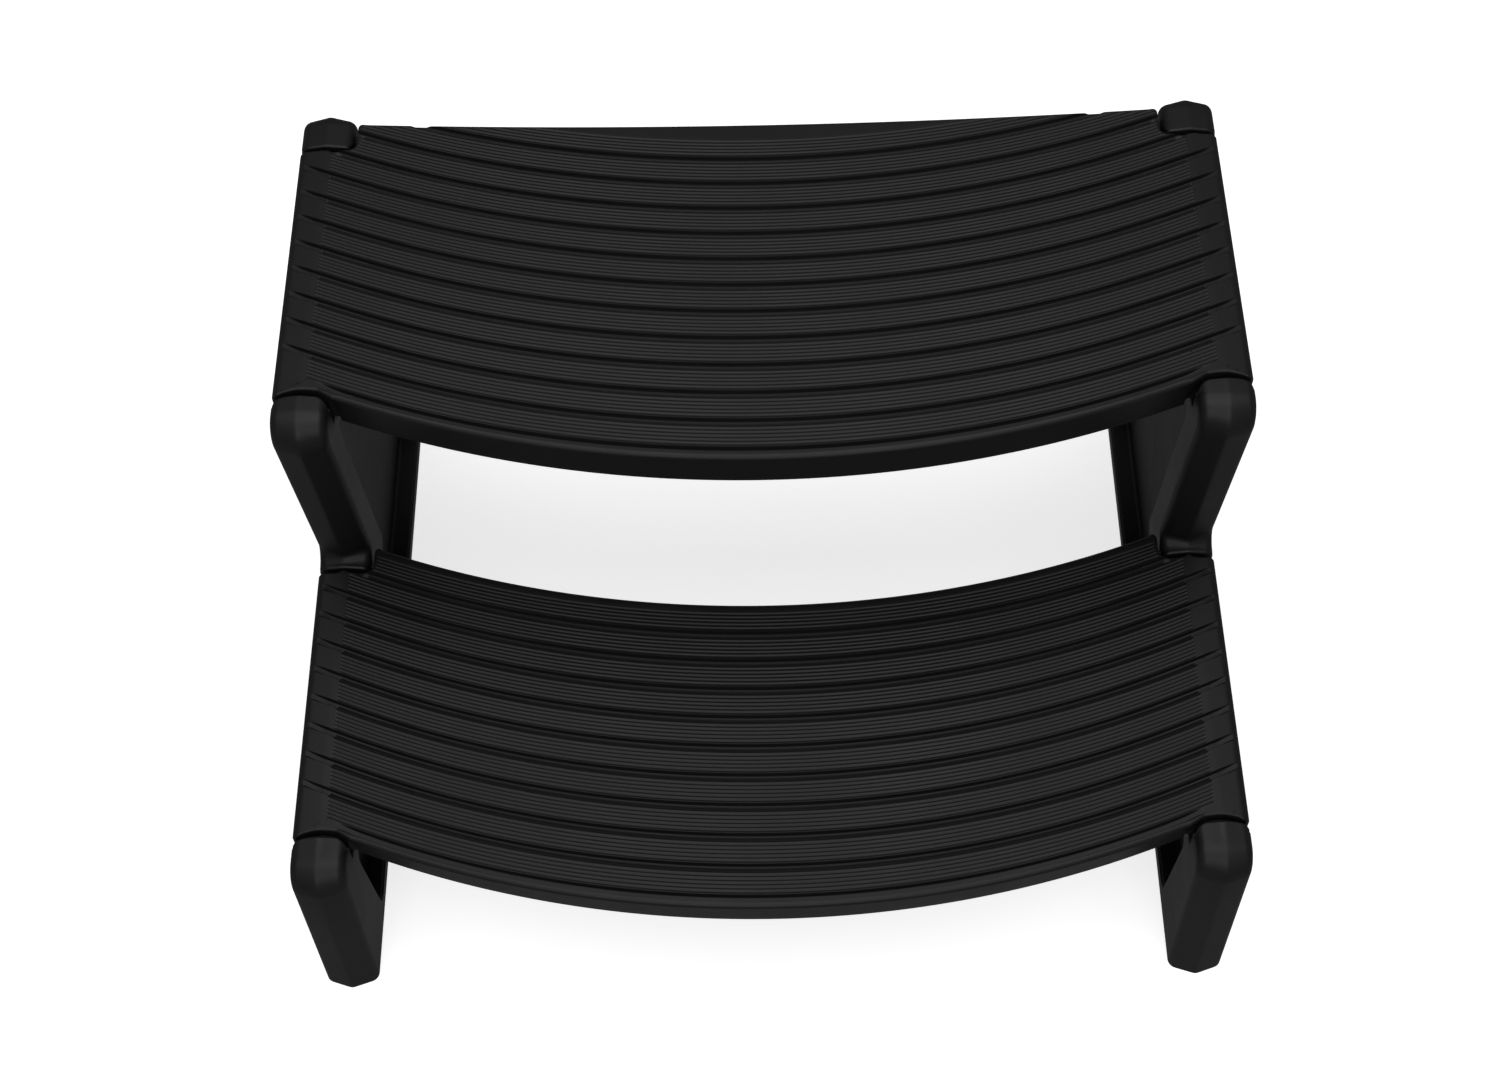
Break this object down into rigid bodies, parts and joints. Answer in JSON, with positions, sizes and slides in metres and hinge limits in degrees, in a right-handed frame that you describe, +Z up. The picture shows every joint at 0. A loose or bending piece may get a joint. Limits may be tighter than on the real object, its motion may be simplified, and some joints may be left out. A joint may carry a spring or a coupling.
{
  "type": "step stool",
  "caption": "Free-standing black moulded-plastic step with curved, grooved treads, one above and behind the other, screwed between closed stair-shaped side frames.",
  "frame": {"origin": "on the floor, under the middle of the object's bounding box", "axes": "+X to the user's right along the treads' length, +Y from the front of the lower tread to the back of the upper one, +Z up"},
  "size_m": [0.7, 0.58, 0.384],
  "materials": {
    "black_plastic": "fine moulded texture, satin black",
    "screw_steel": "plain zinc-plated steel"
  },
  "bodies": {
    "root": {"left_side_frame": "black_plastic", "right_side_frame": "black_plastic", "lower_tread": "black_plastic", "upper_tread": "black_plastic", "lower_left_screws": "screw_steel", "lower_right_screws": "screw_steel", "upper_left_screws": "screw_steel", "upper_right_screws": "screw_steel"}
  },
  "joints": []
}
